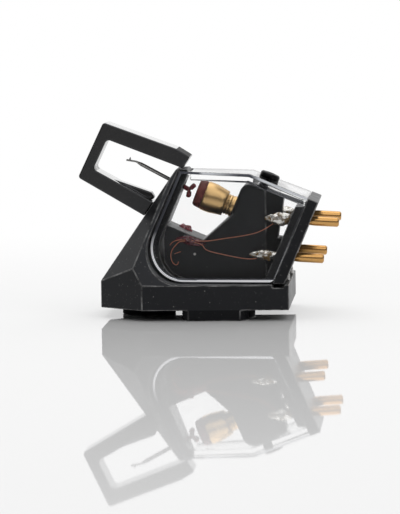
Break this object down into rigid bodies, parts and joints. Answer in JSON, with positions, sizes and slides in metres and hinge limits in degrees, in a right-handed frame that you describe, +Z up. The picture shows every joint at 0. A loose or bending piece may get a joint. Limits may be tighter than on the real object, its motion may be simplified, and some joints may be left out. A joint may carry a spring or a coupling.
{
  "type": "turntable stylus cartridge",
  "caption": "Moving-coil phono cartridge with a faceted black body, clear kinked cover, gold rear pins and a slip-on stylus guard, standing on its mounting face.",
  "frame": {"origin": "on the mounting face, midway between the two mounting holes", "axes": "+X from the stylus to the connecting pins, +Y to the far side of the picture, +Z up away from the mounting face"},
  "size_m": [0.0274, 0.017, 0.0203],
  "materials": {
    "black_plastic": "satin moulded",
    "clear_plastic": "polished clear",
    "black_steel": "black oxide",
    "maroon_enamel": "gloss",
    "brass": "turned",
    "dark_alloy": "satin",
    "diamond": "polished",
    "glue": "gloss",
    "rubber": "matte",
    "guard_plastic": "satin moulded",
    "gold": "gold plated",
    "solder": "bright, lumpy",
    "copper": "enamelled copper"
  },
  "bodies": {
    "cartridge": {"body": "black_plastic", "terminal_plate": "black_plastic", "clear_cover": "clear_plastic", "cover_screw": "black_steel", "magnet": "maroon_enamel", "magnet_carrier": "brass", "glue_near": "glue", "glue_far": "glue", "glue_shelf": "glue", "pin_upper_near": "gold", "solder_upper_near": "solder", "lead_upper_near": "copper", "pin_upper_far": "gold", "solder_upper_far": "solder", "lead_upper_far": "copper", "pin_lower_near": "gold", "solder_lower_near": "solder", "lead_lower_near": "copper", "pin_lower_far": "gold", "solder_lower_far": "solder", "lead_lower_far": "copper"},
    "suspension": {"pivot_pad": "rubber"},
    "needle": {"cantilever": "dark_alloy", "stylus_tip": "diamond", "armature_cross": "maroon_enamel", "coil_upper_near": "copper", "coil_upper_far": "copper", "coil_lower_near": "copper", "coil_lower_far": "copper"},
    "guard": {"stylus_guard": "guard_plastic"}
  },
  "joints": [
    {"name": "stylus_vertical", "type": "hinge", "parent": "cartridge", "child": "suspension", "pos_m": [-0.00373, 0, 0.01346], "axis": [0, 1, 0], "range_deg": [-2, 2], "stiffness_Nm_per_rad": 0.0025, "deforming": ["pivot_pad"]},
    {"name": "stylus_lateral", "type": "hinge", "parent": "suspension", "child": "needle", "pos_m": [-0.00373, 0, 0.01346], "axis": [0.4772, 0, 0.8788], "range_deg": [-2, 2], "stiffness_Nm_per_rad": 0.0025},
    {"name": "guard_pull", "type": "slide", "parent": "cartridge", "child": "guard", "axis": [-0.9026, 0, 0.4305], "range_m": [0, 0.012]}
  ]
}
